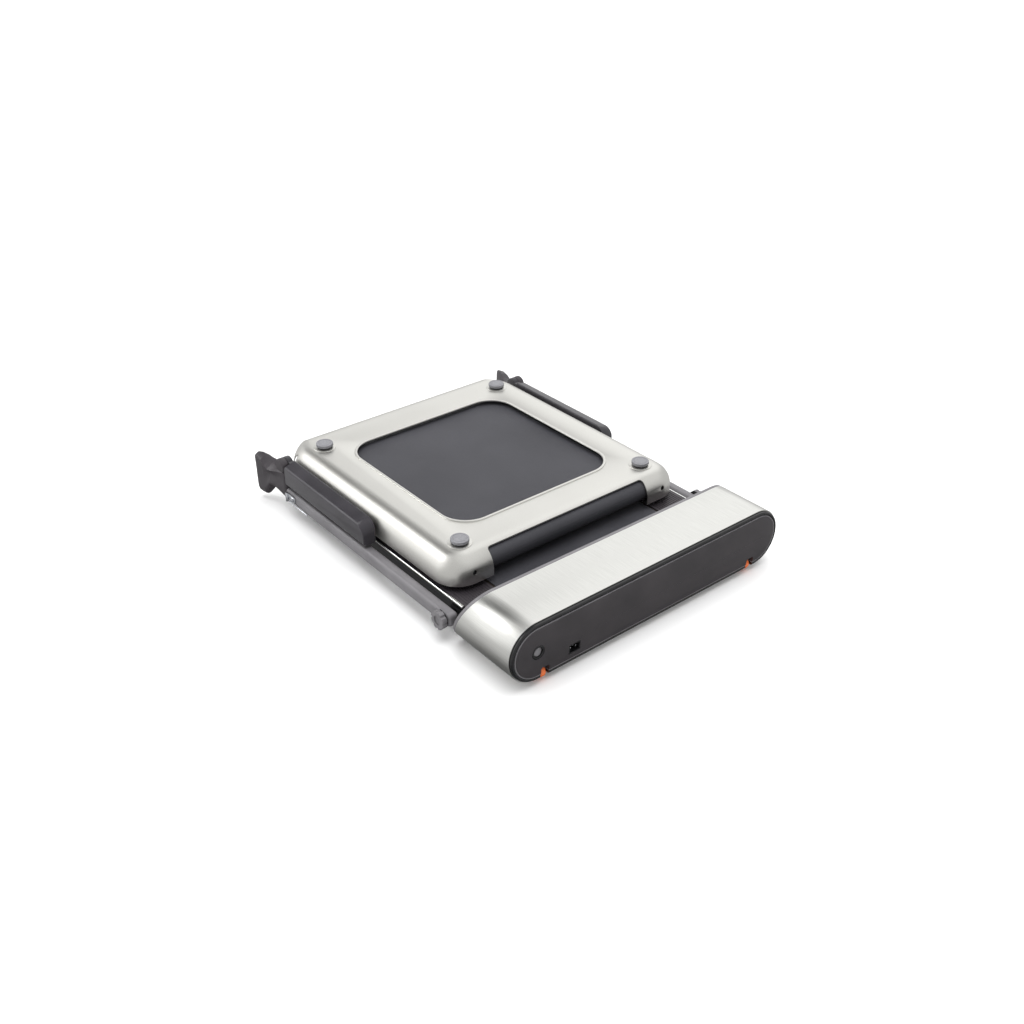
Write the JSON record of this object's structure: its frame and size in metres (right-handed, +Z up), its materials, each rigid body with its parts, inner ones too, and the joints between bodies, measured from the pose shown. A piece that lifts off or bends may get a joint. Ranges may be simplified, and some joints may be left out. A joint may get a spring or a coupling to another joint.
{
  "type": "folding walking treadmill",
  "caption": "Flat electric walking treadmill that folds in half at the middle of its belt, with a motor hood and a folding handrail on each side, shown folded.",
  "frame": {"origin": "on the floor under the middle of the folded machine's bounding box", "axes": "+X to the right across the deck seen from the hood, +Y from the motor hood to the fold, +Z up"},
  "size_m": [0.72, 0.9316, 0.152],
  "materials": {
    "satin_silver": "warm satin silver",
    "brushed_silver": "fine brushed",
    "dark_plastic": "fine grain moulded plastic",
    "smoked_plastic": "gloss",
    "grey_plastic": "moulded plastic",
    "soft_grip": "soft satin",
    "black_rubber": "matte",
    "grey_rubber": "matte",
    "orange_rubber": "satin",
    "belt_rubber": "fine woven texture",
    "black_steel": "powder coat",
    "bare_steel": "machined",
    "chrome": "polished",
    "deck_wood": "fibreboard",
    "circuit_board": "solder mask"
  },
  "bodies": {
    "base": {"hood_cover": "brushed_silver", "front_bezel": "dark_plastic", "front_panel": "dark_plastic", "hood_rear_bezel": "grey_plastic", "hood_rear_panel": "dark_plastic", "display_window": "smoked_plastic", "display_board": "circuit_board", "base_tray": "black_steel", "base_side_tubes": "black_steel", "base_cross_tubes": "black_steel", "front_deck_board": "deck_wood", "front_deck_cushions": "black_rubber", "front_foot_rails": "dark_plastic", "front_rail_trims": "brushed_silver", "motor": "black_steel", "motor_bracket": "bare_steel", "drive_belt": "black_rubber", "motor_controller": "bare_steel", "power_inlet": "smoked_plastic", "power_switch_housing": "smoked_plastic", "drive_roller_blocks": "grey_plastic", "front_belt": "belt_rubber", "front_hinge_plates": "bare_steel", "hinge_pins": "bare_steel", "base_feet": "black_rubber", "wheel_forks": "bare_steel", "pivot_brackets": "black_steel"},
    "rear_half": {"rear_cover": "satin_silver", "rear_side_tubes": "black_steel", "rear_cross_tubes": "black_steel", "rear_deck_board": "deck_wood", "rear_foot_rails": "dark_plastic", "rear_end_caps": "dark_plastic", "rear_belt": "belt_rubber", "rear_roller_blocks": "grey_plastic", "belt_tension_screws": "bare_steel", "rear_hinge_plates": "bare_steel", "rear_feet": "grey_rubber", "belt_fold_inner": "belt_rubber", "belt_fold_outer": "belt_rubber"},
    "drive_roller": {"drive_roller": "bare_steel", "drive_pulley": "grey_plastic"},
    "motor_rotor": {"motor_rotor": "bare_steel"},
    "rear_roller": {"rear_roller": "bare_steel"},
    "power_rocker": {"power_switch_rocker": "smoked_plastic"},
    "left_wheel": {"left_wheel": "orange_rubber"},
    "right_wheel": {"right_wheel": "orange_rubber"},
    "left_handrail": {"left_post": "grey_plastic", "left_end_block": "dark_plastic", "left_grip_pin": "bare_steel"},
    "right_handrail": {"right_post": "grey_plastic", "right_end_block": "dark_plastic", "right_grip_pin": "bare_steel"},
    "left_grip": {"left_grip": "soft_grip"},
    "right_grip": {"right_grip": "soft_grip"},
    "left_latch": {"left_latch": "chrome"},
    "right_latch": {"right_latch": "chrome"},
    "left_knob": {"left_knob": "dark_plastic"},
    "right_knob": {"right_knob": "dark_plastic"}
  },
  "joints": [
    {"name": "deck_fold", "type": "hinge", "parent": "base", "child": "rear_half", "pos_m": [0, 0.37784, 0.076], "axis": [-1, 0, 0], "range_deg": [0, 180], "deforming": ["belt_fold_inner", "belt_fold_outer"]},
    {"name": "left_handrail_fold", "type": "hinge", "parent": "base", "child": "left_handrail", "pos_m": [-0.317, -0.24216, 0.05], "axis": [1, 0, 0], "range_deg": [0, 90]},
    {"name": "right_handrail_fold", "type": "hinge", "parent": "base", "child": "right_handrail", "pos_m": [0.317, -0.24216, 0.05], "axis": [1, 0, 0], "range_deg": [0, 90]},
    {"name": "left_grip_fold", "type": "hinge", "parent": "left_handrail", "child": "left_grip", "pos_m": [-0.317, 0.37184, 0.112], "axis": [-1, 0, 0], "range_deg": [0, 130]},
    {"name": "right_grip_fold", "type": "hinge", "parent": "right_handrail", "child": "right_grip", "pos_m": [0.317, 0.37184, 0.112], "axis": [-1, 0, 0], "range_deg": [0, 130]},
    {"name": "left_latch_swing", "type": "hinge", "parent": "left_handrail", "child": "left_latch", "pos_m": [-0.351, 0.34184, 0.05], "axis": [0, 0, -1], "range_deg": [0, 30], "stiffness_Nm_per_rad": 0.2},
    {"name": "right_latch_swing", "type": "hinge", "parent": "right_handrail", "child": "right_latch", "pos_m": [0.351, 0.34184, 0.05], "axis": [0, 0, 1], "range_deg": [0, 30], "stiffness_Nm_per_rad": 0.2},
    {"name": "left_knob_turn", "type": "hinge", "parent": "base", "child": "left_knob", "pos_m": [-0.347, -0.24216, 0.05], "axis": [-1, 0, 0], "continuous": true},
    {"name": "right_knob_turn", "type": "hinge", "parent": "base", "child": "right_knob", "pos_m": [0.347, -0.24216, 0.05], "axis": [1, 0, 0], "continuous": true},
    {"name": "drive_roller_turn", "type": "hinge", "parent": "base", "child": "drive_roller", "pos_m": [0, -0.3062, 0.046], "axis": [1, 0, 0], "continuous": true},
    {"name": "motor_turn", "type": "hinge", "parent": "base", "child": "motor_rotor", "pos_m": [-0.234, -0.39384, 0.088], "axis": [1, 0, 0], "continuous": true},
    {"name": "rear_roller_turn", "type": "hinge", "parent": "rear_half", "child": "rear_roller", "pos_m": [0, -0.19616, 0.106], "axis": [1, 0, 0], "continuous": true},
    {"name": "left_wheel_turn", "type": "hinge", "parent": "base", "child": "left_wheel", "pos_m": [-0.278, -0.44684, 0.018], "axis": [1, 0, 0], "continuous": true},
    {"name": "right_wheel_turn", "type": "hinge", "parent": "base", "child": "right_wheel", "pos_m": [0.278, -0.44684, 0.018], "axis": [1, 0, 0], "continuous": true},
    {"name": "power_switch_rock", "type": "hinge", "parent": "base", "child": "power_rocker", "pos_m": [-0.296, -0.45984, 0.079], "axis": [1, 0, 0], "range_deg": [0, 16]}
  ],
  "couplings": [
    {"joint": "motor_turn", "follows": "drive_roller_turn", "ratio": 2.1111}
  ]
}
